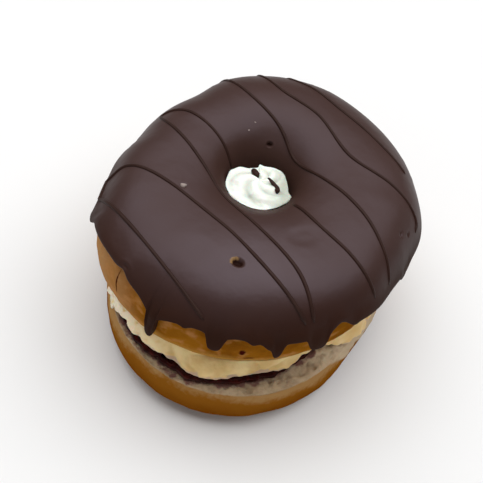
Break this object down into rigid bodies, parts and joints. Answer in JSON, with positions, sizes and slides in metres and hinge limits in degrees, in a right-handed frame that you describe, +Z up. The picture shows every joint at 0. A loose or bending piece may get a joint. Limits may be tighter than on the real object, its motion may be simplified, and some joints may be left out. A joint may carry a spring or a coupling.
{
  "type": "cream-filled doughnut",
  "caption": "Ring doughnut split and filled with cream and jam, with chocolate icing, drips, drizzled lines and a swirl of whipped cream in its hole.",
  "frame": {"origin": "on the surface it rests on, below the middle of the whole", "axes": "+Z up along the hole's axis, -Y towards the side where the filling shows widest"},
  "size_m": [0.094, 0.1032, 0.0542],
  "materials": {
    "bottom_bun": "fried golden brown crust with a rough open crumb on its cut face",
    "jam": "wet, glossy, nearly black red",
    "cream_filling": "soft satin, pale yellow",
    "top_bun": "fried brown crust, slightly greasy",
    "icing": "set chocolate, satin",
    "cream_swirl": "soft white whipped cream"
  },
  "bodies": {
    "root": {"bottom_bun": "bottom_bun", "jam": "jam", "cream_filling": "cream_filling", "top_bun": "top_bun", "icing": "icing", "cream_swirl": "cream_swirl"}
  },
  "joints": []
}
